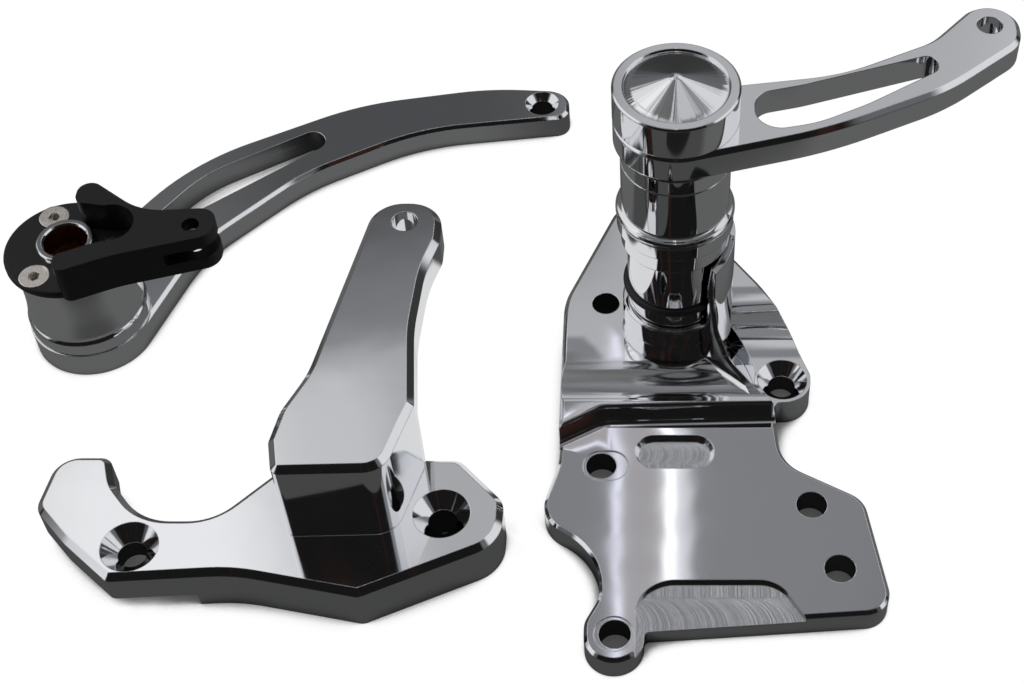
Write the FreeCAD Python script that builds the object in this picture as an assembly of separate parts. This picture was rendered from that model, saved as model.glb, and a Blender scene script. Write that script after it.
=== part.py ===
import FreeCAD, Part
import math
import os

V = FreeCAD.Vector
UP = V(0, 0, 1)

# Where the three pieces stand, as offsets of their own origins from the set's origin
SHIFT_AT = (60.5, -2.4)
BRAKE_AT = (-151.2, 12.4)
ARM_AT = (-115.5, -94.5)

# Shift bracket plate
PLATE_T = 9.5
BLOCK_T = 19.0
WING_T = 11.5
PLATE_EDGE = 1.2
BLOCK_EDGE = 1.5
STEP_ROUND = 1.6
STEP_COVE = 2.0
FRAME_HOLE_R = 5.15
PEG_HOLE_R = 4.85
FRAME_HOLES = ((-24.9, -53.8), (45.7, -69.9), (53.6, -94.9), (-19.3, -119.1))
PEG_HOLE = (-24.3, 10.6)
CSK_TOP_R = 9.5
CSK_HOLE_R = 4.7
WING_CSK_TOP_R = 8.8
WING_CSK_AT = (37.9, -18.2)
POCKET_DEPTH = 3.0
OBROUND_DEPTH = 2.2
OBROUND_LEAN = 1.4
PIT_Z = 2.0
SPOT_DEPTH = 0.35
SCOOP_Y = -25.0
SCOOP_HALF = 8.6
SCOOP_DEPTH = 1.5
REACH = 400.0

# Pivot stack of the shift side, radii and heights above the plate's underside
TUBE_R = 16.0
TUBE_BORE_R = 10.0
SPIGOT_R = 12.0
SPIGOT_BOTTOM = 20.0
BOSS_R = TUBE_R + 1.4
BOSS_FOOT_R = BOSS_R + 1.6
EAR_R = TUBE_R + 1.8
EAR_Z = 27.5
EAR_TOP = 36.6
RING_Z = 67.2
RING_STEP_Z = 73.9
RING_TOP = 79.7
RING_R1 = TUBE_R + 2.0
RING_R2 = TUBE_R + 3.3
GUSSET_GAP = 1.85
GUSSET_R = TUBE_R + GUSSET_GAP
GUSSET_T = 2.35
GUSSET_ROOT_R = TUBE_R + 0.5
GUSSET_TOP = 68.5
GUSSET_FROM = -48.0
GUSSET_TO = 38.0
GUSSET_LOW = (-20.0, 61.0)
GUSSET_HIGH = (3.0, 71.0)
SLEEVE_R = 17.8
SLEEVE_TOP = 109.9
BEAD_R = SLEEVE_R + 1.8
UPPER_SPIGOT_R = SLEEVE_R - 4.3
UPPER_SPIGOT_TOP = 98.0
SHAFT_R = 7.9
SHAFT_THREAD_R = 6.0
SHAFT_TOP = 127.0
SHAFT_FLAT = 6.4
RUN_GAP = 0.05
WASHER_T = 1.95
COUNTERBORE_R = 13.0
COUNTERBORE_Z = 8.2
GROOVE_DEPTH = 1.6
SEAL_SECTION = 1.55
SEAL_Z = 45.0
BASE_SEAL_T = 0.8
BASE_SEAL_R = TUBE_R - 0.6

# Shift lever and end cap
HUB_R = 19.9
LEVER_Z = 111.9
LEVER_T = 9.5
LEVER_EDGE = 1.5
LEVER_HOLE_R = 4.15
LEVER_HOLE = (102.4, 41.9)
CAP_R = 20.0
CAP_T = 12.0
CAP_RIM_R = 16.7
CAP_RECESS = 0.8
CONE_H = 4.3

# Brake lever, lying with its outer face down
PEDAL_T = 10.0
PEDAL_EDGE = 1.2
PEDAL_HUB_R = 21.6
PEDAL_COLLAR_R = 21.2
PEDAL_COLLAR_TOP = 16.4
PEDAL_TUBE_R = 19.2
PEDAL_TUBE_TOP = 41.8
PEDAL_WALL = 10.2
PEDAL_BORE_R = PEDAL_TUBE_R - PEDAL_WALL
PEDAL_END_HOLE = (159.4, 109.8)
PEDAL_END_HOLE_R = 4.1
PEDAL_END_CSK_R = 6.7
BUSH_BORE_R = PEDAL_BORE_R - 1.6
OUTER_BUSH_Z = 1.0
OUTER_BUSH_LEN = 16.0
INNER_BUSH_Z = 22.0
INNER_BUSH_LEN = 15.5
FERRULE_R = PEDAL_BORE_R + 1.0
FERRULE_Z = 38.0
FERRULE_TOP = 48.1

# Actuator on the brake lever's hub
ACT_DISC_R = PEDAL_TUBE_R + 2.7
ACT_DISC_T = 2.7
ACT_TOP = 57.5
ACT_SCREW_CIRCLE = (ACT_DISC_R + FERRULE_R) / 2 + 0.25
ACT_SCREW_ANGLES = (118.0, 238.0, 358.0)
ACT_PIN = (45.8, -1.7)
ACT_PIN_R = 3.0
CLEVIS_GAP = 5.2
CLEVIS_DEPTH = 17.0
SCREW_HEAD_R = (ACT_DISC_R - FERRULE_R) / 2 - 0.55
SCREW_R = 2.1
SCREW_CLEAR = 0.1
SCREW_LEN = 13.0
HEX_AF = 3.6

# Brake side bracket
HOOK_T = 12.2
FOOT_T = 6.0
FOOT_FROM_X = 21.4
BRACKET_EDGE = 2.2
BOSS_TOP = 54.6
ARM_T = 12.7
ARM_EDGE = 2.2
ARM_HOLE = (82.8, 109.4)
ARM_HOLE_R = 4.5
BOSS_BACK_Y = 35.8
CSK_2_AT = (99.6, 12.8)


def corner(p, q, r, radius):
    """Tangent points and mid point of a rounded corner at q."""
    a = (p - q).normalize()
    b = (r - q).normalize()
    half = a.getAngle(b) / 2
    t = radius / math.tan(half)
    bis = (a + b).normalize()
    mid = q + bis * (radius / math.sin(half) - radius)
    return q + a * t, mid, q + b * t


def outline(points, z=0.0, side=False):
    """Closed wire through (x, y, corner radius) points, or (y, z, radius) on a side profile."""
    pts = [V(z, x, y) if side else V(x, y, z) for x, y, r in points]
    rad = [r for x, y, r in points]
    n = len(pts)
    edges = []
    ends = []
    for i in range(n):
        if rad[i] > 0:
            ends.append(corner(pts[i - 1], pts[i], pts[(i + 1) % n], rad[i]))
        else:
            ends.append((pts[i], None, pts[i]))
    for i in range(n):
        s, m, e = ends[i]
        if m is not None:
            edges.append(Part.Arc(s, m, e).toShape())
        nxt = ends[(i + 1) % n][0]
        if (nxt - e).Length > 1e-6:
            edges.append(Part.makeLine(e, nxt))
    return Part.Wire(edges)


def slab(points, z, height):
    return Part.Face(outline(points, z)).extrude(V(0, 0, height))


def cyl(r, z, height, at=(0.0, 0.0)):
    return Part.makeCylinder(r, height, V(at[0], at[1], z), UP)


def tube(r_out, r_in, z, height, at=(0.0, 0.0)):
    return cyl(r_out, z, height, at).cut(cyl(r_in, z - 1, height + 2, at))


def turned(profile, at=(0.0, 0.0)):
    """Solid of revolution about a vertical axis, from (radius, height) points."""
    pts = [V(r, 0, z) for r, z in profile]
    face = Part.Face(Part.makePolygon(pts + [pts[0]]))
    body = face.revolve(V(0, 0, 0), UP, 360)
    body.translate(V(at[0], at[1], 0))
    return body


def countersink(at, z_top, r_top, r_hole, z_bottom):
    """Cutting body of a 90 degree countersunk hole, seen from above."""
    over = 1.0
    cone = Part.makeCone(r_hole, r_top + over, r_top + over - r_hole,
                         V(at[0], at[1], z_top + over - (r_top + over - r_hole)), UP)
    return cone.fuse(cyl(r_hole, z_bottom - 1, z_top - z_bottom + 2, at))


def profile_x(points, x0, x1):
    """Body of a (y, z) outline with corner radii, pulled along X."""
    return Part.Face(outline(points, x0, True)).extrude(V(x1 - x0, 0, 0))


def top_edges(shape, z, keep=None):
    """Edges lying at the height z, those that the test keeps."""
    out = []
    for e in shape.Edges:
        zs = [v.Z for v in e.Vertexes]
        if max(abs(k - z) for k in zs) > 1e-4:
            continue
        mid = e.valueAt((e.FirstParameter + e.LastParameter) / 2)
        if abs(mid.z - z) > 1e-4:
            continue
        if keep is None or keep(mid, e):
            out.append(e)
    return out


def chamfered(shape, size, z, keep=None):
    return shape.makeChamfer(size, top_edges(shape, z, keep))


def place(shape, at, z=0.0):
    moved = shape.copy()
    moved.translate(V(at[0], at[1], z))
    return moved


# Outlines in plan, each point with its corner radius

PLATE_OUTLINE = (
    (-39.3, 12.0, 30), (-39.3, -52.5, 30), (-45.7, -74.8, 12), (-24.6, -88.2, 25),
    (-24.6, -105.5, 10), (-29.2, -114.5, 8), (-29.2, -129.0, 9.6), (-10.0, -129.0, 9.6),
    (-10.0, -117.0, 2.0), (70.4, -111.1, 8.5), (63.4, -67.2, 10), (36.5, -52.2, 14),
    (34.4, -28.4, 2.5), (47.9, -28.4, 10), (47.9, -16.0, 5), (41.8, 1.5, 50),
    (31.5, 20.0, 60), (-11.8, 81.0, 16))
STEP_LINE = ((60.0, -33.3, 0), (-24.5, -35.8, 10), (-60.0, -56.5, 0), (-60.0, 110.0, 0),
             (60.0, 110.0, 0))
FRONT_POCKET = ((-13.0, -132.0, 0), (44.0, -132.0, 0), (44.0, -117.0, 3), (33.4, -99.3, 11),
                (-13.0, -99.3, 13))
RIB_T = 1.3
RIB_COVE = 3.6
RIB_PATH = ((33.6, -34.0), (24.4, -24.9), (10.9, -13.2))
RIB_HEIGHTS = ((-40.0, 0.5, 0), (-40.0, 17.2, 0), (-28.5, 18.0, 12), (-19.5, 23.6, 7),
               (-15.8, 35.0, 14), (-13.2, 66.0, 0), (-8.0, 66.0, 0), (-8.0, 0.5, 0))
PIT_EDGE = ((15.2, 10.0), (25.7, -4.9), (29.4, -25.4))
PIT_INNER = (19.3, -20.0)
WING_CORNER = (36.0, -38.0)
WING_PROFILE = ((60.0, 40.0, 0), (60.0, BLOCK_T, 0), (13.0, BLOCK_T, 26), (-1.0, WING_T, 32),
                (-60.0, WING_T, 0), (-60.0, 40.0, 0))

LEVER_OUTLINE = (
    (5.5, -19.1, 0), (48.0, -7.2, 150), (86.0, 11.6, 80), (112.3, 34.0, 12),
    (112.3, 51.8, 9.9), (97.9, 51.8, 9.9), (83.2, 35.0, 22), (52.3, 19.3, 70),
    (10.0, 13.0, 0))
LEVER_SLOT = (
    (24.6, -8.0, 8), (44.0, -3.8, 40), (60.0, 4.6, 60), (83.8, 20.2, 3.5),
    (83.4, 28.2, 3.5), (40.0, 13.3, 60), (24.6, 9.4, 7))

PEDAL_OUTLINE = (
    (20.3, -7.4, 0), (34.6, 33.6, 60), (69.0, 70.0, 80), (112.0, 94.3, 90),
    (170.3, 102.1, 5.5), (170.3, 117.6, 9), (138.0, 119.6, 110), (86.0, 110.0, 110),
    (24.2, 77.0, 90), (-18.1, 11.9, 0))
PEDAL_SLOT = (
    (17.5, 31.0, 5), (26.0, 46.5, 40), (76.4, 86.7, 4.9), (71.0, 95.1, 4.9),
    (29.5, 69.5, 50), (7.5, 36.2, 5))

FORK_OUTLINE = (
    (2.0, -24.6, 3.5), (21.0, -16.1, 60), (54.0, -6.5, 6.5), (54.0, 6.4, 6),
    (27.6, 4.7, 22), (3.7, 22.85, 4.5), (3.7, 9.0, 3.5), (17.5, 6.9, 0),
    (17.5, -9.0, 0), (11.8, -11.2, 10), (1.8, -15.8, 2.5))
FORK_ROUND = (17.5, -0.8)
FORK_ROUND_R = 8.6

HOOK_OUTLINE = (
    (-5.6, -12.1, 3), (34.0, -9.6, 60), (75.2, -17.9, 4), (119.6, 2.4, 14),
    (119.6, 18.5, 8), (104.0, 35.4, 6), (48.5, 35.9, 5), (24.8, 11.2, 20),
    (1.4, 11.2, 20), (-9.8, 25.0, 15), (-13.3, 36.6, 4.5), (-30.8, 36.6, 9),
    (-34.2, 15.6, 7), (-22.4, 2.6, 30))
ARM_OUTLINE = (
    (50.6, 3.9, 3.2), (85.3, 4.9, 9.1), (92.7, 31.0, 3.2),
    (90.0, 62.0, 80), (91.6, 88.0, 60), (95.5, 101.5, 10), (95.5, 120.0, 11.8),
    (71.9, 120.0, 11.8), (57.2, 43.5, 40), (50.4, 28.5, 15), (48.2, 16.2, 4))


def near_step(m):
    """Whether a point lies beside the step's line, seen in plan."""
    near = 0.03 * BLOCK_T
    for (x0, y0, r0), (x1, y1, r1) in zip(STEP_LINE[0:2], STEP_LINE[1:3]):
        along = V(x1 - x0, y1 - y0, 0)
        off = V(m.x - x0, m.y - y0, 0)
        if off.cross(along).Length / along.Length < near:
            return True
    return False


def step_cove():
    """Hollow rounding at the foot of the step, pulled along the step's line."""
    p, q, r = [V(x, y, PLATE_T) for x, y, k in STEP_LINE[0:3]]
    s, m, e = corner(p, q, r, STEP_LINE[1][2])
    out = UP.cross((q - p).normalize())
    size = STEP_COVE
    bend = size * (1 - math.sqrt(0.5))
    foot = p + out * size
    head = p + UP * size
    hollow = Part.Arc(foot, p + out * bend + UP * bend, head).toShape()
    rest = Part.makePolygon([head, head - out, p - out - UP, foot - UP, foot])
    section = Part.Face(Part.Wire([hollow, rest]))
    right = section.extrude(s - p)
    section.translate(s - p)
    centre = Part.Arc(s, m, e).toShape().Curve.Center
    turn = math.degrees((s - centre).getAngle(e - centre))
    bend_part = section.revolve(centre, UP, turn)
    section.rotate(centre, UP, turn)
    left = section.extrude(r - e)
    return right.fuse([bend_part, left]).common(slab(PLATE_OUTLINE, 0, BLOCK_T))


def shift_blank():
    """Plate with its raised block, step and lowered wing."""
    plate = chamfered(slab(PLATE_OUTLINE, 0, PLATE_T), PLATE_EDGE, PLATE_T)
    block = chamfered(slab(PLATE_OUTLINE, 0, BLOCK_T), BLOCK_EDGE, BLOCK_T)
    block = block.common(slab(STEP_LINE, 0, BLOCK_T))
    block = block.makeFillet(STEP_ROUND, top_edges(block, BLOCK_T, lambda m, e: near_step(m)))
    body = plate.fuse(block.fuse(step_cove())).removeSplitter()
    scoop_r = (SCOOP_HALF ** 2 + SCOOP_DEPTH ** 2) / (2 * SCOOP_DEPTH)
    scoop = Part.makeCylinder(scoop_r, REACH, V(-REACH / 2, SCOOP_Y, BLOCK_T - SCOOP_DEPTH + scoop_r),
                              V(1, 0, 0))
    return body.cut(scoop).cut(wing_cut())


def arc(a, b, c, z=0.0):
    return Part.Arc(V(a[0], a[1], z), V(b[0], b[1], z), V(c[0], c[1], z)).toShape()


def wing_cut():
    """Body above the lowered wing, right of the rib."""
    a, b, c = PIT_EDGE
    far = 60.0 + TUBE_R
    back = WING_PROFILE[1][0] - 1.0
    front = WING_CORNER[1]
    rest = Part.makePolygon([V(c[0], c[1], 0), V(WING_CORNER[0], front, 0), V(far, front, 0),
                             V(far, back, 0), V(a[0], back, 0), V(a[0], a[1], 0)])
    plan = Part.Face(Part.Wire([arc(a, b, c), rest])).extrude(V(0, 0, 2 * BLOCK_T))
    return plan.common(profile_x(WING_PROFILE, 0, far))


def rib():
    """Thin curved rib from the step up to the gusset, with a cove at its left foot."""
    a, b, c = [V(x, y, 0) for x, y in RIB_PATH]
    centre = Part.Arc(a, b, c).toShape().Curve.Center
    r = (b - centre).Length
    inner = r - RIB_T / 2
    outer = r + RIB_T / 2
    foot = inner - RIB_COVE
    low = PLATE_T / 2
    base = BLOCK_T - SCOOP_DEPTH
    high = 4 * BLOCK_T
    bend = RIB_COVE * (1 - math.sqrt(0.5))
    cove = Part.Arc(V(inner, 0, base + RIB_COVE), V(inner - bend, 0, base + bend),
                    V(foot, 0, base)).toShape()
    rest = Part.makePolygon([V(foot, 0, base), V(foot, 0, low), V(outer, 0, low),
                             V(outer, 0, high), V(inner, 0, high),
                             V(inner, 0, base + RIB_COVE)])
    first = math.degrees(math.atan2(a.y - centre.y, a.x - centre.x))
    last = math.degrees(math.atan2(c.y - centre.y, c.x - centre.x))
    body = Part.Face(Part.Wire([cove, rest])).revolve(V(0, 0, 0), UP, last - first)
    body.rotate(V(0, 0, 0), UP, first)
    body.translate(centre)
    body = body.common(profile_x(RIB_HEIGHTS, 0, RIB_PATH[0][0] + TUBE_R))
    body = body.common(slab(PLATE_OUTLINE, 0, high)).common(slab(STEP_LINE, 0, high))
    return body.cut(cyl(GUSSET_R, EAR_TOP - 1.0, high))


def gusset():
    """Thin wall standing round the right of the pivot tube, clear of the tube and its seal."""
    out = GUSSET_R + GUSSET_T
    wall = turned(((GUSSET_ROOT_R, 1.0), (out, 1.0), (out, GUSSET_TOP), (RING_R1 - 1.0, GUSSET_TOP),
                   (RING_R1 - 1.0, RING_Z), (GUSSET_R, RING_Z - 1.5), (GUSSET_R, EAR_TOP + 0.5),
                   (GUSSET_ROOT_R, EAR_TOP - 1.0)))
    a0, a1 = math.radians(GUSSET_FROM), math.radians(GUSSET_TO)
    far = 2 * out
    wedge = Part.makePolygon([V(0, 0, 0), V(far * math.cos(a0), far * math.sin(a0), 0),
                              V(far, 0, 0), V(far * math.cos(a1), far * math.sin(a1), 0),
                              V(0, 0, 0)])
    wall = wall.common(Part.Face(wedge).extrude(V(0, 0, 2 * GUSSET_TOP)))
    y0, z0 = GUSSET_LOW
    y1, z1 = GUSSET_HIGH
    slope = profile_x(((y0, z0, 0), (y1, z1, 0), (far, z1, 0), (far, 2 * z1, 0), (y0, 2 * z1, 0)),
                      0, far)
    return wall.cut(slope)


def pit_cut():
    """Lens shaped pit between the rib and the wing."""
    a, b, c = PIT_EDGE
    wire = Part.Wire([arc(a, b, c), arc(c, PIT_INNER, a)])
    return place(Part.Face(wire).extrude(V(0, 0, 2 * BLOCK_T)), (0, 0), PIT_Z)


def front_pocket():
    return slab(FRONT_POCKET, PLATE_T - POCKET_DEPTH, BLOCK_T)


def obround(cx, cy, length, width, z, height):
    r = width / 2
    hx = length / 2
    return slab(((cx - hx, cy - r, r * 0.999), (cx + hx, cy - r, r * 0.999),
                 (cx + hx, cy + r, r * 0.999), (cx - hx, cy + r, r * 0.999)), z, height)


def sloped_pocket(points, inset, z_top, depth):
    """Pocket whose walls lean in towards its floor."""
    top = outline(points, z_top)
    low = outline(points, z_top).makeOffset2D(-inset)
    low.translate(V(0, 0, -depth))
    body = Part.makeLoft([low, top], True, True)
    cap = Part.Face(outline(points, z_top)).extrude(V(0, 0, 30))
    return body.fuse(cap)


def shift_bracket():
    body = shift_blank()
    boss = turned(((0, PLATE_T), (BOSS_FOOT_R, PLATE_T), (BOSS_FOOT_R, BLOCK_T - 1.8),
                   (BOSS_R + 0.6, BLOCK_T + 0.1), (BOSS_R, BLOCK_T + 1.6), (BOSS_R, EAR_Z),
                   (EAR_R, EAR_Z), (EAR_R, EAR_TOP - 0.5), (EAR_R - 0.5, EAR_TOP),
                   (0, EAR_TOP)))
    ring = turned(((TUBE_R, RING_Z), (RING_R1, RING_Z), (RING_R1, RING_STEP_Z),
                   (RING_R2, RING_STEP_Z + 0.6), (RING_R2, RING_TOP), (TUBE_R, RING_TOP)))
    body = body.cut(pit_cut())
    body = body.fuse([boss, rib(), gusset(), ring])
    body = body.cut(cyl(SPIGOT_R, SPIGOT_BOTTOM, EAR_TOP - SPIGOT_BOTTOM + 5))
    body = body.cut(cyl(SHAFT_R + 0.4, 0, SPIGOT_BOTTOM + 1))
    body = body.cut(cyl(COUNTERBORE_R, -1, COUNTERBORE_Z + 1))
    for at in FRAME_HOLES:
        body = body.cut(cyl(FRAME_HOLE_R, -1, PLATE_T + 2, at))
    body = body.cut(cyl(PEG_HOLE_R, -1, BLOCK_T + 2, PEG_HOLE))
    body = body.cut(countersink(WING_CSK_AT, WING_T, WING_CSK_TOP_R, CSK_HOLE_R, 0))
    body = body.cut(front_pocket())
    body = body.cut(sloped_pocket(((-13.6, -55.0, 6.9), (13.6, -55.0, 6.9), (13.6, -41.0, 6.9),
                                   (-13.6, -41.0, 6.9)), OBROUND_LEAN, PLATE_T, OBROUND_DEPTH))
    hx, hy = FRAME_HOLES[0]
    body = body.cut(obround(hx + 1.5, hy, 15.4, 12.2, PLATE_T - SPOT_DEPTH, 5))
    hx, hy = FRAME_HOLES[3]
    body = body.cut(cyl(6.3, PLATE_T - SPOT_DEPTH, 5, (hx - 0.4, hy)))
    return body.removeSplitter()


def pivot_tube():
    """Turned tube that carries the bushings, pressed down through the ring."""
    g0 = SEAL_Z - SEAL_SECTION - 0.2
    g1 = SEAL_Z + SEAL_SECTION + 0.2
    low = EAR_TOP + BASE_SEAL_T
    return turned((
        (TUBE_BORE_R, SPIGOT_BOTTOM), (SPIGOT_R, SPIGOT_BOTTOM), (SPIGOT_R, low),
        (TUBE_R - 0.5, low), (TUBE_R, low + 0.5), (TUBE_R, g0),
        (TUBE_R - GROOVE_DEPTH, g0), (TUBE_R - GROOVE_DEPTH, g1), (TUBE_R, g1),
        (TUBE_R, RING_TOP),
        (UPPER_SPIGOT_R, RING_TOP), (UPPER_SPIGOT_R, UPPER_SPIGOT_TOP),
        (TUBE_BORE_R, UPPER_SPIGOT_TOP)))


def ring_seal(r_mid, section, z):
    return Part.makeTorus(r_mid, section, V(0, 0, z), UP)


def pivot_sleeve():
    mid = RING_TOP + 1.6
    return turned((
        (UPPER_SPIGOT_R, RING_TOP), (SLEEVE_R + 0.6, RING_TOP), (BEAD_R - 0.5, RING_TOP + 0.3),
        (BEAD_R, mid - 0.7), (BEAD_R, mid), (BEAD_R - 0.6, mid + 0.8),
        (SLEEVE_R + 0.1, mid + 1.1), (SLEEVE_R - 0.5, mid + 1.5), (SLEEVE_R - 0.5, mid + 2.3),
        (SLEEVE_R, mid + 2.8), (SLEEVE_R, SLEEVE_TOP - 7.0), (SLEEVE_R - 0.25, SLEEVE_TOP - 6.8),
        (SLEEVE_R - 0.25, SLEEVE_TOP - 1.2), (SLEEVE_R - 1.4, SLEEVE_TOP),
        (TUBE_BORE_R, SLEEVE_TOP), (TUBE_BORE_R, UPPER_SPIGOT_TOP + 0.5),
        (UPPER_SPIGOT_R, UPPER_SPIGOT_TOP + 0.5)))


def lower_bushing():
    return tube(TUBE_BORE_R, SHAFT_R + RUN_GAP, SPIGOT_BOTTOM + 0.5, 16.0)


def upper_bushing():
    return tube(TUBE_BORE_R, SHAFT_R + RUN_GAP, SLEEVE_TOP - 24.0, 24.0)


def thrust_washer():
    return tube(13.0, SHAFT_R + RUN_GAP, SLEEVE_TOP, WASHER_T)


def flatted(r, flat, z, height):
    """Round bar with two flats."""
    bar = cyl(r, z, height)
    return bar.common(Part.makeBox(4 * r, 2 * flat, height, V(-2 * r, -flat, z)))


def pivot_shaft():
    body = cyl(SHAFT_R, COUNTERBORE_Z, LEVER_Z - COUNTERBORE_Z)
    body = body.fuse(cyl(SHAFT_THREAD_R, 1.2, COUNTERBORE_Z - 1.2))
    body = body.fuse(flatted(SHAFT_R, SHAFT_FLAT, LEVER_Z, SHAFT_TOP - LEVER_Z))
    return body.removeSplitter()


def retaining_washer():
    return tube(11.0, SHAFT_THREAD_R, COUNTERBORE_Z - 0.15 - 1.6, 1.6)


def hexagon(af, z, height, at=(0.0, 0.0), turn=0.0):
    r = af / math.sqrt(3)
    pts = []
    for k in range(7):
        a = math.radians(60 * k + turn)
        pts.append(V(at[0] + r * math.cos(a), at[1] + r * math.sin(a), z))
    return Part.Face(Part.makePolygon(pts)).extrude(V(0, 0, height))


def retaining_nut():
    top = COUNTERBORE_Z - 0.15 - 1.6
    height = 5.0
    body = hexagon(18.0, top - height, height)
    cone = Part.makeCone(9.2, 12.0, height, V(0, 0, top - height), UP)
    body = body.common(cone)
    return body.cut(cyl(SHAFT_THREAD_R, 0, 12))


def shift_lever():
    arm = slab(LEVER_OUTLINE, LEVER_Z, LEVER_T)
    hub = cyl(HUB_R, LEVER_Z, LEVER_T)
    body = hub.fuse(arm).removeSplitter()
    top = LEVER_Z + LEVER_T
    body = chamfered(body, LEVER_EDGE, top, lambda m, e: m.x > 18.5)
    body = body.cut(slab(LEVER_SLOT, LEVER_Z - 1, LEVER_T + 2))
    body = body.cut(cyl(LEVER_HOLE_R, LEVER_Z - 1, LEVER_T + 2, LEVER_HOLE))
    body = body.cut(flatted(SHAFT_R, SHAFT_FLAT, LEVER_Z - 1, LEVER_T + 2))
    return body


def end_cap():
    z0 = LEVER_Z + LEVER_T
    z1 = z0 + CAP_T
    body = turned((
        (0, z0), (CAP_R - 0.25, z0), (CAP_R, z0 + 0.25), (CAP_R, z1 - 0.6),
        (CAP_R - 0.6, z1), (CAP_RIM_R, z1), (CAP_RIM_R - 0.3, z1 - CAP_RECESS),
        (CAP_RIM_R - 0.8, z1 - CAP_RECESS), (0, z1 + CONE_H)))
    return body.cut(flatted(SHAFT_R, SHAFT_FLAT, z0 - 1, SHAFT_TOP - z0 + 1))


def brake_lever():
    arm = chamfered(slab(PEDAL_OUTLINE, 0, PEDAL_T), PEDAL_EDGE, PEDAL_T)
    hub = cyl(PEDAL_HUB_R, 0, PEDAL_T)
    body = hub.fuse(arm).removeSplitter()
    z1 = PEDAL_COLLAR_TOP
    flare = turned((
        (0, 1), (PEDAL_COLLAR_R, 1), (PEDAL_COLLAR_R, z1 - 1.2),
        (PEDAL_COLLAR_R - 0.5, z1 - 0.3), (PEDAL_TUBE_R + 1.1, z1), (PEDAL_TUBE_R + 1.1, z1 + 1.2),
        (PEDAL_TUBE_R + 1.3, z1 + 1.6), (PEDAL_TUBE_R + 0.8, z1 + 4.5),
        (PEDAL_TUBE_R + 0.35, z1 + 8.0), (PEDAL_TUBE_R + 0.1, z1 + 12.0),
        (PEDAL_TUBE_R, z1 + 16.0), (PEDAL_TUBE_R, PEDAL_TUBE_TOP), (0, PEDAL_TUBE_TOP)))
    body = body.fuse(flare)
    body = body.cut(slab(PEDAL_SLOT, -1, PEDAL_T + 2))
    body = body.cut(cyl(PEDAL_BORE_R, -1, FERRULE_Z + 2))
    body = body.cut(cyl(FERRULE_R, FERRULE_Z, 10))
    body = body.cut(countersink(PEDAL_END_HOLE, PEDAL_T, PEDAL_END_CSK_R, PEDAL_END_HOLE_R, 0))
    under_head = SCREW_HEAD_R - SCREW_R - ACT_DISC_T + 0.1
    for at in screw_centres():
        body = body.cut(cyl(SCREW_R + SCREW_CLEAR, PEDAL_TUBE_TOP - SCREW_LEN, SCREW_LEN + 2, at))
        body = body.cut(cyl(SCREW_R + 0.8, PEDAL_TUBE_TOP - under_head, 2, at))
    return body


def screw_centres():
    out = []
    for a in ACT_SCREW_ANGLES:
        t = math.radians(a)
        out.append((ACT_SCREW_CIRCLE * math.cos(t), ACT_SCREW_CIRCLE * math.sin(t)))
    return out


def brake_bushing(z, length):
    return tube(PEDAL_BORE_R, BUSH_BORE_R, z, length)


def hub_ferrule():
    return turned((
        (BUSH_BORE_R, FERRULE_Z), (FERRULE_R, FERRULE_Z), (FERRULE_R, FERRULE_TOP - 0.5),
        (FERRULE_R - 0.5, FERRULE_TOP), (BUSH_BORE_R + 0.6, FERRULE_TOP),
        (BUSH_BORE_R, FERRULE_TOP - 0.6)))


def actuator():
    z0 = PEDAL_TUBE_TOP
    disc = turned(((0, z0), (ACT_DISC_R - 0.3, z0), (ACT_DISC_R, z0 + 0.4),
                   (ACT_DISC_R, z0 + ACT_DISC_T - 0.7), (ACT_DISC_R - 0.7, z0 + ACT_DISC_T),
                   (0, z0 + ACT_DISC_T)))
    fork = slab(FORK_OUTLINE, z0, ACT_TOP - z0)
    fork = fork.cut(cyl(FORK_ROUND_R, z0 - 1, 40, FORK_ROUND))
    body = disc.fuse(fork).removeSplitter()
    body = body.cut(cyl(FERRULE_R + 0.03, z0 - 1, 40))
    mid = (z0 + ACT_TOP) / 2
    gap = Part.makeBox(40, 60, CLEVIS_GAP, V(54.0 - CLEVIS_DEPTH, -30, mid - CLEVIS_GAP / 2))
    body = body.cut(gap)
    body = body.cut(cyl(ACT_PIN_R, z0 - 1, 40, ACT_PIN))
    for at in screw_centres():
        body = body.cut(countersink(at, z0 + ACT_DISC_T, SCREW_HEAD_R, SCREW_R + 0.4, z0))
        body = body.cut(cyl(SCREW_HEAD_R + 1.0, z0 + ACT_DISC_T, 6, at))
    return body


def actuator_screw(at, turn):
    """Flat head socket screw, its head flush with the disc."""
    top = PEDAL_TUBE_TOP + ACT_DISC_T
    slope = SCREW_HEAD_R - SCREW_R - 0.4
    body = turned(((0, top), (SCREW_HEAD_R - 0.15, top), (SCREW_HEAD_R - 0.15, top - 0.15),
                   (SCREW_R + 0.25, top - slope), (SCREW_R, top - slope - 0.15),
                   (SCREW_R, top - SCREW_LEN), (SCREW_R - 0.5, top - SCREW_LEN - 0.5),
                   (0, top - SCREW_LEN - 0.5)), at)
    return body.cut(hexagon(HEX_AF, top - 2.2, 5, at, turn))


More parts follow.
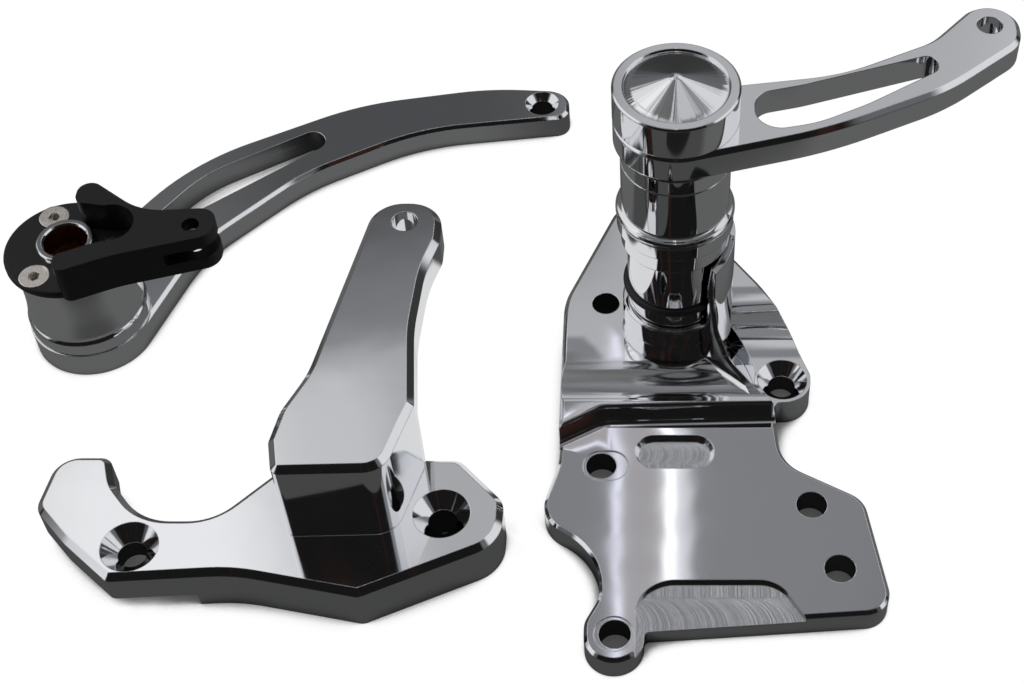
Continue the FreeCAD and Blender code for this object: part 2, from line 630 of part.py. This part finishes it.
def brake_bracket():
    top = FOOT_T + HOOK_T
    body = slab(HOOK_OUTLINE, 0, top)
    body = body.cut(Part.makeBox(REACH, REACH, FOOT_T, V(FOOT_FROM_X - REACH, -REACH / 2, 0)))
    body = chamfered(body, BRACKET_EDGE, top, lambda m, e: (
        m.y < 0 or (m.x > 60 and m.y < 34) or m.x < -25))
    arm = chamfered(slab(ARM_OUTLINE, BOSS_TOP - ARM_T, ARM_T), ARM_EDGE, BOSS_TOP)
    boss = slab(ARM_OUTLINE, FOOT_T, BOSS_TOP - ARM_T - FOOT_T).common(
        Part.makeBox(REACH, REACH, REACH, V(0, BOSS_BACK_Y - REACH, 0)))
    block = arm.fuse(boss)
    body = body.fuse(block).removeSplitter()
    body = body.cut(countersink((0.0, 0.0), top, CSK_TOP_R, CSK_HOLE_R, 0))
    body = body.cut(countersink(CSK_2_AT, top, CSK_TOP_R, CSK_HOLE_R, 0))
    body = body.cut(cyl(ARM_HOLE_R, BOSS_TOP - ARM_T - 1, ARM_T + 2, ARM_HOLE))
    return body


def build():
    shift = {
        "shift_bracket": shift_bracket(),
        "pivot_tube": pivot_tube(),
        "tube_seal": ring_seal(TUBE_R - GROOVE_DEPTH + SEAL_SECTION, SEAL_SECTION, SEAL_Z),
        "base_seal": tube(BASE_SEAL_R, SPIGOT_R, EAR_TOP, BASE_SEAL_T),
        "pivot_sleeve": pivot_sleeve(),
        "lower_bushing": lower_bushing(),
        "upper_bushing": upper_bushing(),
        "thrust_washer": thrust_washer(),
        "pivot_shaft": pivot_shaft(),
        "retaining_washer": retaining_washer(),
        "retaining_nut": retaining_nut(),
        "shift_lever": shift_lever(),
        "end_cap": end_cap(),
    }
    brake = {
        "brake_lever": brake_lever(),
        "outer_bushing": brake_bushing(OUTER_BUSH_Z, OUTER_BUSH_LEN),
        "inner_bushing": brake_bushing(INNER_BUSH_Z, INNER_BUSH_LEN),
        "hub_ferrule": hub_ferrule(),
        "actuator": actuator(),
    }
    for k, at in enumerate(screw_centres()):
        brake["actuator_screw_%d" % (k + 1)] = actuator_screw(at, 12.0 + 25.0 * k)
    parts = {}
    for name, shape in shift.items():
        parts[name] = place(shape, SHIFT_AT)
    for name, shape in brake.items():
        parts[name] = place(shape, BRAKE_AT)
    parts["brake_bracket"] = place(brake_bracket(), ARM_AT)
    return parts


os.makedirs("parts", exist_ok=True)
for name, shape in build().items():
    shape.exportStep("parts/%s.step" % name)
    box = shape.BoundBox
    print("%-18s valid=%s solids=%d x %.2f..%.2f y %.2f..%.2f z %.2f..%.2f" % (
        name, shape.isValid(), len(shape.Solids), box.XMin, box.XMax, box.YMin, box.YMax,
        box.ZMin, box.ZMax))
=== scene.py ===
import math

import bpy
import bmesh
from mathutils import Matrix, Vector


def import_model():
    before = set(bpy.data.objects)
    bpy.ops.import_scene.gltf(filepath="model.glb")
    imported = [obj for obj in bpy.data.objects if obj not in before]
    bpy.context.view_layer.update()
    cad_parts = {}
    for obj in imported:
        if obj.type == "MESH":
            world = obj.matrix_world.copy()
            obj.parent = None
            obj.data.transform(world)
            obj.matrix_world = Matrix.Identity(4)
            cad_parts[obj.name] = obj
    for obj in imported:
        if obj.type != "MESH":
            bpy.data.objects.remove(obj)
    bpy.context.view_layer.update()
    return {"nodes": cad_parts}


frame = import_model()
NODES = frame["nodes"]

# Where the shift side stands, in metres: the same offset as in the part's source
SHIFT = Vector((0.0605, -0.0024, 0.0))

# Metal: its colour, the radius at which edges look rounded, and how high its relief is, in
# metres. The cutter marks and the turned streaks are given as multiples of that height.
CHROME = (0.86, 0.87, 0.885, 1.0)
EDGE = 0.00045
EDGE_SAMPLES = 6
RELIEF = 0.0006
FINE_RELIEF = 0.0001
POCKET_RELIEF = 1.6
POCKET_HAZE = 0.05
STREAK_RELIEF = 4.0

# Where the shift bracket and the cap are finished otherwise, in metres: plated() says what
# the values of each row are
PLATE_TOP = 0.0095
BLOCK_LOW = 0.0168
BLOCK_HIGH = 0.0193
STEP_Y = SHIFT.y - 0.0375
LEVEL_SOFT = 0.0001
UPWARD = (0.9, 0.98)
MILLED = ((0.0073, SHIFT.y - 0.0475, 0.0045), (0.0065, SHIFT.y - 0.1150, 0.0110))
SCOOP = (0.05, BLOCK_LOW, BLOCK_HIGH, STEP_Y, SHIFT.y - 0.0150)
DISHED = ((0.30, 0.0060, PLATE_TOP + 0.0001, -0.2, STEP_Y - 0.0004, 0.0004),
          (0.30, BLOCK_LOW, BLOCK_HIGH, STEP_Y, SHIFT.y - 0.0235, 0.0030))
SPUN = (SHIFT.x, SHIFT.y, 0.0165, 0.1370)

# How the meshes are smoothed: degrees and metres
SMOOTH_ANGLE = 24
WELD = 2e-6


# Shading nodes

def material(name, **values):
    """A new material; each value names an input of its shader."""
    mat = bpy.data.materials.new(name)
    mat.use_nodes = True
    tree = mat.node_tree
    shader = tree.nodes["Principled BSDF"]
    for key, value in values.items():
        shader.inputs[key.replace("_", " ")].default_value = value
    return mat, tree, shader


def node(tree, kind, **values):
    """A new node; each value names a setting of it, or else one of its inputs."""
    n = tree.nodes.new(kind)
    for key, value in values.items():
        if hasattr(n, key):
            setattr(n, key, value)
        else:
            n.inputs[key.replace("_", " ")].default_value = value
    return n


def ramp(tree, stops, source):
    """The colour that lies at the source's value between the stops."""
    n = tree.nodes.new("ShaderNodeValToRGB")
    n.color_ramp.elements.remove(n.color_ramp.elements[1])
    n.color_ramp.elements[0].position = stops[0][0]
    n.color_ramp.elements[0].color = stops[0][1]
    for at, colour in stops[1:]:
        n.color_ramp.elements.new(at).color = colour
    tree.links.new(source, n.inputs[0])
    return n.outputs[0]


def grey(v):
    return (v, v, v, 1.0)


def noise(tree, scale, detail, rough):
    coord = node(tree, "ShaderNodeTexCoord")
    tex = node(tree, "ShaderNodeTexNoise", Scale=scale, Detail=detail, Roughness=rough)
    tree.links.new(coord.outputs["Object"], tex.inputs["Vector"])
    return tex.outputs["Fac"]


def bump(tree, shader, height, strength, distance, edge=0.0, lean=None):
    """Surface relief, over edges that look rounded by the given radius.
    lean is a socket: how far the surface is dished towards -Y."""
    b = node(tree, "ShaderNodeBump", Strength=strength, Distance=distance)
    tree.links.new(height, b.inputs["Height"])
    if edge > 0:
        soft = node(tree, "ShaderNodeBevel", samples=EDGE_SAMPLES, Radius=edge)
        normal = soft.outputs["Normal"]
        if lean:
            tip = node(tree, "ShaderNodeCombineXYZ")
            tree.links.new(times(tree, lean, -1.0), tip.inputs["Y"])
            add = node(tree, "ShaderNodeVectorMath", operation="ADD")
            unit = node(tree, "ShaderNodeVectorMath", operation="NORMALIZE")
            tree.links.new(normal, add.inputs[0])
            tree.links.new(tip.outputs[0], add.inputs[1])
            tree.links.new(add.outputs[0], unit.inputs[0])
            normal = unit.outputs[0]
        tree.links.new(normal, b.inputs["Normal"])
    tree.links.new(b.outputs["Normal"], shader.inputs["Normal"])


def scaled(tree, value, low, high, to_low, to_high, smooth=False):
    """The value carried over from one range to another, and held at its ends."""
    r = node(tree, "ShaderNodeMapRange", From_Min=low, From_Max=high, To_Min=to_low,
             To_Max=to_high, interpolation_type="SMOOTHSTEP" if smooth else "LINEAR")
    tree.links.new(value, r.inputs["Value"])
    return r.outputs["Result"]


def maths(tree, kind, a, b=0.0):
    """One step of arithmetic; each operand is a number or a socket."""
    n = node(tree, "ShaderNodeMath", operation=kind)
    for socket, value in zip(n.inputs, (a, b)):
        if isinstance(value, (int, float)):
            socket.default_value = value
        else:
            tree.links.new(value, socket)
    return n.outputs[0]


def times(tree, a, b):
    return maths(tree, "MULTIPLY", a, b)


def plus(tree, a, b):
    return maths(tree, "ADD", a, b)


def minus(tree, a, b):
    return maths(tree, "SUBTRACT", a, b)


def between(tree, value, low, high, soft):
    """1 where the value lies between low and high, falling off softly on both sides."""
    up = scaled(tree, value, low - soft, low + soft, 0.0, 1.0, True)
    down = scaled(tree, value, high - soft, high + soft, 1.0, 0.0, True)
    return times(tree, up, down)


def place_on(tree):
    """Sockets X, Y and Z of the point on the piece."""
    coord = node(tree, "ShaderNodeTexCoord")
    place = node(tree, "ShaderNodeSeparateXYZ")
    tree.links.new(coord.outputs["Object"], place.inputs[0])
    return place.outputs


def flat_at(tree, z0, z1):
    """The place on the piece, and 1 on faces that look up between two heights."""
    place = place_on(tree)
    level = between(tree, place["Z"], z0, z1, LEVEL_SOFT)
    shape = node(tree, "ShaderNodeNewGeometry")
    facing = node(tree, "ShaderNodeSeparateXYZ")
    tree.links.new(shape.outputs["True Normal"], facing.inputs[0])
    up = scaled(tree, facing.outputs["Z"], *UPWARD, 0.0, 1.0)
    return place, times(tree, level, up)


def cutter_marks(tree, place, y0, radius):
    """Height of the arcs that a milling cutter leaves as it travels along X."""
    off = minus(tree, place["Y"], y0)
    square = minus(tree, radius * radius, times(tree, off, off))
    reach = maths(tree, "SQRT", maths(tree, "MAXIMUM", square, 0.0))
    along = minus(tree, place["X"], reach)
    marks = node(tree, "ShaderNodeTexNoise", noise_dimensions="1D", Scale=1500.0, Detail=2.0)
    tree.links.new(along, marks.inputs["W"])
    return marks.outputs["Fac"]


def streaks_to(tree, x, y, radius, z1):
    """Height of fine streaks that run to a centre, inside a radius and below a height."""
    place = place_on(tree)
    dx = minus(tree, place["X"], x)
    dy = minus(tree, place["Y"], y)
    turn = maths(tree, "ARCTAN2", dx, dy)
    streak = node(tree, "ShaderNodeTexNoise", noise_dimensions="1D", Scale=9.0, Detail=4.0)
    tree.links.new(turn, streak.inputs["W"])
    out = maths(tree, "SQRT", plus(tree, times(tree, dx, dx), times(tree, dy, dy)))
    inside = scaled(tree, out, radius - 0.0004, radius, 1.0, 0.0)
    low = scaled(tree, place["Z"], z1 - LEVEL_SOFT, z1, 1.0, 0.0)
    depth = times(tree, out, 1.0 / radius)
    here = times(tree, times(tree, inside, low), depth)
    return times(tree, streak.outputs["Fac"], times(tree, here, STREAK_RELIEF))


def plated(name, rough_low, rough_high, wave, dished=(), milled=(), spun=None, satin=None):
    """Polished and plated metal: a mirror with slow buffing waves and faint haze.
    dished is rows of (slope, z low, z high, y low, y high, softness): flats that are
    polished slightly hollow.
    milled is rows of (z, y, cutter radius): pocket floors with cutter marks.
    spun is (x, y, radius, z high): a turned face with streaks that run to its centre.
    satin is (roughness, z low, z high, y low, y high): a duller patch."""
    mat, tree, p = material(name, Metallic=1.0, Base_Color=CHROME)
    rough = scaled(tree, noise(tree, 60.0, 4.0, 0.6), 0.3, 0.7, rough_low, rough_high)
    lean = None
    for slope, z0, z1, y0, y1, soft in dished:
        place, here = flat_at(tree, z0, z1)
        zone = times(tree, between(tree, place["Y"], y0, y1, soft), slope)
        part = times(tree, here, zone)
        lean = plus(tree, lean, part) if lean else part
    if satin:
        dull, z0, z1, y0, y1 = satin
        place, here = flat_at(tree, z0, z1)
        patch = between(tree, place["Y"], y0, y1, 0.002)
        rough = plus(tree, rough, times(tree, times(tree, here, patch), dull))
    height = noise(tree, 28.0, 2.0, 0.5)
    if spun:
        height = plus(tree, height, streaks_to(tree, *spun))
    for z, y, radius in milled:
        place, here = flat_at(tree, z - 0.0002, z + 0.0002)
        rough = plus(tree, rough, times(tree, here, POCKET_HAZE))
        marks = times(tree, cutter_marks(tree, place, y, radius), here)
        height = plus(tree, height, times(tree, marks, POCKET_RELIEF))
    tree.links.new(rough, p.inputs["Roughness"])
    bump(tree, p, height, wave, RELIEF, EDGE, lean)
    return mat


def bronze(name):
    mat, tree, p = material(name, Metallic=1.0, Roughness=0.42)
    fac = noise(tree, 400.0, 5.0, 0.6)
    colour = ramp(tree, ((0.3, (0.36, 0.15, 0.05, 1)), (0.6, (0.62, 0.30, 0.11, 1)),
                         (0.8, (0.85, 0.50, 0.22, 1))), fac)
    tree.links.new(colour, p.inputs["Base Color"])
    bump(tree, p, fac, 0.3, 2 * FINE_RELIEF)
    return mat


def steel(name, centre):
    """Turned steel, its fine rings round the given centre."""
    mat, tree, p = material(name, Metallic=1.0, Roughness=0.24)
    fac = noise(tree, 500.0, 3.0, 0.5)
    colour = ramp(tree, ((0.3, (0.78, 0.74, 0.68, 1)), (0.7, (0.90, 0.86, 0.80, 1))), fac)
    tree.links.new(colour, p.inputs["Base Color"])
    coord = node(tree, "ShaderNodeTexCoord")
    mapping = node(tree, "ShaderNodeMapping", Location=(-centre[0], -centre[1], 0.0))
    rings = node(tree, "ShaderNodeTexWave", wave_type="RINGS", rings_direction="Z",
                 Scale=700.0, Distortion=0.4)
    tree.links.new(coord.outputs["Object"], mapping.inputs["Vector"])
    tree.links.new(mapping.outputs["Vector"], rings.inputs["Vector"])
    bump(tree, p, rings.outputs["Fac"], 0.12, FINE_RELIEF, EDGE)
    return mat


def anodised(name):
    mat, tree, p = material(name, Roughness=0.46, Specular_IOR_Level=0.42)
    fac = noise(tree, 1600.0, 5.0, 0.65)
    colour = ramp(tree, ((0.3, (0.004, 0.004, 0.0045, 1)), (0.7, (0.010, 0.010, 0.011, 1))), fac)
    tree.links.new(colour, p.inputs["Base Color"])
    bump(tree, p, fac, 0.25, FINE_RELIEF, EDGE)
    return mat


def rubber(name):
    mat, tree, p = material(name, Roughness=0.5)
    fac = noise(tree, 900.0, 3.0, 0.5)
    colour = ramp(tree, ((0.3, (0.006, 0.006, 0.006, 1)), (0.7, (0.014, 0.014, 0.014, 1))), fac)
    tree.links.new(colour, p.inputs["Base Color"])
    bump(tree, p, fac, 0.2, FINE_RELIEF)
    return mat


# Which finish each piece has

plate_chrome = plated("plate_chrome", 0.032, 0.050, 0.07, DISHED, MILLED, satin=SCOOP)
arm_chrome = plated("arm_chrome", 0.045, 0.075, 0.12)
lever_chrome = plated("lever_chrome", 0.035, 0.06, 0.12)
post_chrome = plated("post_chrome", 0.02, 0.035, 0.04)
cap_chrome = plated("cap_chrome", 0.03, 0.05, 0.04, spun=SPUN)
mat_bronze = bronze("bushing_bronze")
mat_steel = steel("shaft_steel", SHIFT)
mat_black = anodised("black_anodised_metal")
mat_rubber = rubber("black_rubber_ring")

FINISH = {
    "shift_bracket": plate_chrome, "brake_bracket": arm_chrome,
    "shift_lever": lever_chrome, "brake_lever": lever_chrome,
    "pivot_tube": post_chrome, "pivot_sleeve": post_chrome, "end_cap": cap_chrome,
    "thrust_washer": post_chrome, "hub_ferrule": post_chrome,
    "tube_seal": mat_rubber, "base_seal": mat_rubber,
    "lower_bushing": mat_bronze, "upper_bushing": mat_bronze,
    "outer_bushing": mat_bronze, "inner_bushing": mat_bronze,
    "pivot_shaft": mat_steel, "retaining_washer": mat_steel, "retaining_nut": mat_steel,
    "actuator": mat_black,
}
for name in ("actuator_screw_1", "actuator_screw_2", "actuator_screw_3"):
    corners = NODES[name].bound_box
    middle = [(min(c[k] for c in corners) + max(c[k] for c in corners)) / 2 for k in (0, 1)]
    FINISH[name] = steel(name + "_steel", middle)


def smooth_tree(angle):
    """Node group: welds the mesh, then shades it smooth except across sharp edges."""
    tree = bpy.data.node_groups.new("smooth_%d" % angle, "GeometryNodeTree")
    tree.interface.new_socket("Geometry", in_out="INPUT", socket_type="NodeSocketGeometry")
    tree.interface.new_socket("Geometry", in_out="OUTPUT", socket_type="NodeSocketGeometry")
    a = tree.nodes.new("NodeGroupInput")
    b = tree.nodes.new("NodeGroupOutput")
    merge = tree.nodes.new("GeometryNodeMergeByDistance")
    merge.inputs["Distance"].default_value = WELD
    edge = tree.nodes.new("GeometryNodeInputMeshEdgeAngle")
    less = tree.nodes.new("FunctionNodeCompare")
    less.data_type = "FLOAT"
    less.operation = "LESS_EQUAL"
    less.inputs["B"].default_value = math.radians(angle)
    face = tree.nodes.new("GeometryNodeSetShadeSmooth")
    face.domain = "FACE"
    sharp = tree.nodes.new("GeometryNodeSetShadeSmooth")
    sharp.domain = "EDGE"
    ln = tree.links.new
    ln(a.outputs[0], merge.inputs["Geometry"])
    ln(merge.outputs["Geometry"], face.inputs["Geometry"])
    ln(face.outputs["Geometry"], sharp.inputs["Geometry"])
    ln(edge.outputs["Unsigned Angle"], less.inputs["A"])
    ln(less.outputs["Result"], sharp.inputs["Shade Smooth"])
    ln(sharp.outputs["Geometry"], b.inputs[0])
    return tree


SMOOTH = smooth_tree(SMOOTH_ANGLE)
for name, obj in NODES.items():
    for slot in obj.material_slots:
        slot.material = FINISH[name]
    if not obj.material_slots:
        obj.data.materials.append(FINISH[name])
    mod = obj.modifiers.new("smooth", "NODES")
    mod.node_group = SMOOTH


# Studio

# The bare room, from the horizon (0) to the zenith (1)
ROOM = ((0.0, grey(0.032)), (0.20, grey(0.05)), (0.33, grey(0.12)), (0.55, grey(0.10)),
        (0.72, grey(0.20)), (0.85, grey(0.14)), (0.93, (0.225, 0.228, 0.24, 1.0)),
        (1.0, (0.235, 0.238, 0.25, 1.0)))
# Light panels round the set: azimuth from and to (degrees, from +Y towards +X), softness,
# elevation from and to, softness, colour. Later rows lie over earlier ones.
PANELS = (
    (-180, 180, 1, 24, 42, 8, (0.135, 0.138, 0.145)),
    (-180, 180, 1, 47, 66, 4, (0.23, 0.235, 0.25)),
    (-18, -5, 3.0, 34, 46, 1.5, (0.078, 0.079, 0.083)),
    (-75, -8, 2.0, 49.8, 66, 0.25, (0.43, 0.43, 0.44)),
    (8, 60, 5.0, 66, 81, 4.0, (0.55, 0.55, 0.57)),
    (-75, -14, 2.0, 50, 66, 0.9, (0.60, 0.60, 0.61)),
    (-33, -21, 3.0, 50, 62, 1.5, (0.92, 0.92, 0.93)),
    (-75, -38, 2.0, 44, 62, 1.5, (0.94, 0.94, 0.95)),
    (-9, 1, 2.0, 48, 60, 1.5, (0.46, 0.46, 0.475)),
    (-3, 18, 2.5, 34, 54, 2.5, (0.45, 0.455, 0.47)),
    (-50, -30.5, 1.5, 38, 52, 2.0, (0.80, 0.79, 0.78)),
    (16, 70, 5.0, 38, 58, 3.0, (0.74, 0.74, 0.76)),
    (-115, -48, 4.0, 8, 58, 5.0, (0.80, 0.80, 0.82)),
    (62, 112, 4.0, 8, 58, 5.0, (0.76, 0.76, 0.78)),
)
# Two long tubes overhead that run along Y, each in two tones: x from and to and softness
# (of a unit vector towards the light), elevation from, softness, colour
TUBES = (
    (-0.0230, 0.0050, 0.0050, 52.0, 2.0, (0.38, 0.365, 0.375)),
    (-0.0262, -0.0205, 0.0020, 52.0, 2.0, (1.05, 1.05, 1.20)),
    (0.0036, 0.0100, 0.0016, 52.0, 2.0, (1.70, 1.72, 1.76)),
    (0.0100, 0.0170, 0.0035, 52.0, 2.0, (0.75, 0.76, 0.80)),
)
# The dark end of the room, on the viewer's side: azimuth and elevation (degrees) at which it
# begins and ends, and its two colours
DARK_FROM = 126.0
DARK_SOFT = 3.0
DARK_UP_TO = (64.0, 74.0)
DARK = grey(0.009)
EMBER = (0.030, 0.014, 0.010, 1.0)


def mixed(tree, fac, a, b):
    """One colour laid over another; each is a value or a socket."""
    n = node(tree, "ShaderNodeMix", data_type="RGBA")
    tree.links.new(fac, n.inputs["Factor"])
    for socket, value in ((n.inputs[6], a), (n.inputs[7], b)):
        if isinstance(value, tuple):
            socket.default_value = value
        else:
            tree.links.new(value, socket)
    return n.outputs[2]


def dark_end(tree, direction):
    """Colour of the dark end: near black, with a faint warm glow here and there."""
    squash = node(tree, "ShaderNodeMapping", Scale=(1.0, 1.0, 0.25))
    streaks = node(tree, "ShaderNodeTexNoise", Scale=9.0, Detail=2.0)
    tree.links.new(direction, squash.inputs["Vector"])
    tree.links.new(squash.outputs["Vector"], streaks.inputs["Vector"])
    glow = scaled(tree, streaks.outputs["Fac"], 0.56, 0.66, 0.0, 1.0, True)
    return mixed(tree, glow, DARK, EMBER)


def room_light(tree):
    """Colour of the room in every direction, the same below the horizon as above it."""
    coord = node(tree, "ShaderNodeTexCoord")
    sep = node(tree, "ShaderNodeSeparateXYZ")
    direction = coord.outputs["Generated"]
    tree.links.new(direction, sep.inputs[0])
    degrees = 180.0 / math.pi
    az = times(tree, maths(tree, "ARCTAN2", sep.outputs["X"], sep.outputs["Y"]), degrees)
    up = maths(tree, "ABSOLUTE", sep.outputs["Z"])
    el = times(tree, maths(tree, "ARCSINE", up), degrees)
    sky = ramp(tree, ROOM, scaled(tree, el, 0.0, 90.0, 0.0, 1.0))
    for a0, a1, a_soft, e0, e1, e_soft, colour in PANELS:
        here = times(tree, between(tree, az, a0, a1, a_soft), between(tree, el, e0, e1, e_soft))
        sky = mixed(tree, here, sky, (*colour, 1.0))
    away = maths(tree, "ABSOLUTE", az)
    behind = scaled(tree, away, DARK_FROM - DARK_SOFT, DARK_FROM + DARK_SOFT, 0.0, 1.0, True)
    low = scaled(tree, el, *DARK_UP_TO, 1.0, 0.0, True)
    sky = mixed(tree, times(tree, behind, low), sky, dark_end(tree, direction))
    for x0, x1, x_soft, e0, e_soft, colour in TUBES:
        here = times(tree, between(tree, sep.outputs["X"], x0, x1, x_soft),
                     scaled(tree, el, e0 - e_soft, e0 + e_soft, 0.0, 1.0, True))
        ahead = scaled(tree, sep.outputs["Y"], -0.3, -0.25, 0.0, 1.0)
        sky = mixed(tree, times(tree, here, ahead), sky, (*colour, 1.0))
    return sky


def world():
    w = bpy.data.worlds.new("studio")
    bpy.context.scene.world = w
    w.use_nodes = True
    tree = w.node_tree
    tree.nodes.clear()
    room = node(tree, "ShaderNodeBackground")
    tree.links.new(room_light(tree), room.inputs["Color"])
    white = node(tree, "ShaderNodeBackground", Color=grey(1.0))
    path = node(tree, "ShaderNodeLightPath")
    mix = node(tree, "ShaderNodeMixShader")
    tree.links.new(path.outputs["Is Camera Ray"], mix.inputs["Fac"])
    tree.links.new(room.outputs[0], mix.inputs[1])
    tree.links.new(white.outputs[0], mix.inputs[2])
    out = node(tree, "ShaderNodeOutputWorld")
    tree.links.new(mix.outputs[0], out.inputs["Surface"])


# Floor, in metres. Polished metal mirrors a darker ground than the white one that is lit for
# the picture, in painted reflection tones: its general level, the one beside the levers (behind
# a slanting line left of the post, and right of the shift plate), and two patches of their own
# (x from and to, y from and to, softness, level), in front of the shift plate and left of the
# post.
FLOOR_HALF = 3.0
FLOOR_BELOW = 0.0002
FLOOR_SEEN_IN_METAL = 0.066
FLOOR_SEEN_BY_LEVERS = 0.125
SLANT = 0.35
BEHIND_SLANT = (0.005, 0.025)
LEFT_OF_POST = (-0.02, 0.02)
RIGHT_OF_PLATE = (0.09, 0.13)
BEHIND_PLATE_FRONT = (-0.12, -0.09)
PAINTED_FLOOR_PATCHES = ((0.018, 0.125, -0.26, -0.147, 0.002, 0.012),
                 (-0.024, 0.016, -0.075, 0.035, 0.002, 0.75))
# Painted shade on the floor where the set stands close over it: how open the ground is, and the
# tone
SHADE_REACH = 0.016
SHADE_SAMPLES = 16
SHADE = ((0.0, grey(0.02)), (0.27, grey(0.08)), (0.42, grey(0.11)), (0.50, grey(0.30)),
         (0.56, grey(0.80)), (0.60, grey(1.0)))


def mirrored_floor(tree):
    """How bright the floor is where polished metal mirrors it: a painted reflection, set by
    place.
    """
    place = place_on(tree)
    slant = minus(tree, place["Y"], times(tree, place["X"], SLANT))
    behind = scaled(tree, slant, *BEHIND_SLANT, 0.0, 1.0, True)
    left = scaled(tree, place["X"], *LEFT_OF_POST, 1.0, 0.0, True)
    right = times(tree, scaled(tree, place["X"], *RIGHT_OF_PLATE, 0.0, 1.0, True),
                  scaled(tree, place["Y"], *BEHIND_PLATE_FRONT, 0.0, 1.0, True))
    # Painted reflection tone: brighter beside the levers and right of the shift plate
    by_levers = plus(tree, times(tree, behind, left), right)
    level = scaled(tree, by_levers, 0.0, 1.0, FLOOR_SEEN_IN_METAL, FLOOR_SEEN_BY_LEVERS)
    # Painted reflection patches: near black in front of the shift plate, bright left of the post
    for x0, x1, y0, y1, soft, patch in PAINTED_FLOOR_PATCHES:
        here = times(tree, between(tree, place["X"], x0, x1, soft),
                     between(tree, place["Y"], y0, y1, soft))
        rest = times(tree, minus(tree, 1.0, here), level)
        level = plus(tree, rest, times(tree, here, patch))
    return level


def floor():
    mesh = bpy.data.meshes.new("floor")
    bm = bmesh.new()
    corners = ((-1, -1), (1, -1), (1, 1), (-1, 1))
    bm.faces.new([bm.verts.new((x * FLOOR_HALF, y * FLOOR_HALF, -FLOOR_BELOW))
                  for x, y in corners])
    bm.to_mesh(mesh)
    bm.free()
    obj = bpy.data.objects.new("floor", mesh)
    bpy.context.scene.collection.objects.link(obj)
    mat, tree, p = material("floor_white", Base_Color=grey(0.8), Roughness=0.9,
                            Specular_IOR_Level=0.0)
    # Painted contact shade: the floor's emitted colour darkens with ambient occlusion beside,
    # under and inside the pieces
    near = node(tree, "ShaderNodeAmbientOcclusion", samples=SHADE_SAMPLES,
                Distance=SHADE_REACH)
    painted_floor_shade = ramp(tree, SHADE, near.outputs["AO"])
    path = node(tree, "ShaderNodeLightPath")
    surface = p.outputs[0]
    for ray, level in (("Is Glossy Ray", mirrored_floor(tree)), ("Is Camera Ray", None)):
        emit = node(tree, "ShaderNodeEmission", Strength=1.0)
        tree.links.new(painted_floor_shade, emit.inputs["Color"])
        if level:
            tree.links.new(level, emit.inputs["Strength"])
        mix = node(tree, "ShaderNodeMixShader")
        tree.links.new(path.outputs[ray], mix.inputs["Fac"])
        tree.links.new(surface, mix.inputs[1])
        tree.links.new(emit.outputs[0], mix.inputs[2])
        surface = mix.outputs[0]
    tree.links.new(surface, tree.nodes["Material Output"].inputs["Surface"])
    obj.data.materials.append(mat)


# Soft light from above and behind, in metres and watts
KEY_AT = Vector((-0.5, 0.3, 1.2))
KEY_SIZE = 0.9
KEY_POWER = 8.0


def key_light():
    light = bpy.data.lights.new("key", "AREA")
    light.energy = KEY_POWER
    light.shape = "SQUARE"
    light.size = KEY_SIZE
    obj = bpy.data.objects.new("key", light)
    obj.location = KEY_AT
    obj.rotation_euler = (-KEY_AT).to_track_quat("-Z", "Y").to_euler()
    obj.visible_glossy = False
    bpy.context.scene.collection.objects.link(obj)


# The photograph's viewpoint, in metres from the shift side's pivot, and its lens
EYE = Vector((-0.0053, -0.4103, 0.5076))
TILT = 39.53
FOCAL_LENGTH = 63.28
SENSOR = 36.0
OFF_CENTRE = -0.1435


def camera():
    cam = bpy.data.cameras.new("camera")
    cam.sensor_width = SENSOR
    cam.lens = FOCAL_LENGTH
    cam.shift_x = OFF_CENTRE
    obj = bpy.data.objects.new("camera", cam)
    obj.location = SHIFT + EYE
    obj.rotation_euler = (math.radians(TILT), 0.0, 0.0)
    bpy.context.scene.collection.objects.link(obj)
    bpy.context.scene.camera = obj


camera()
world()
floor()
key_light()
bpy.context.scene.view_settings.view_transform = "Standard"
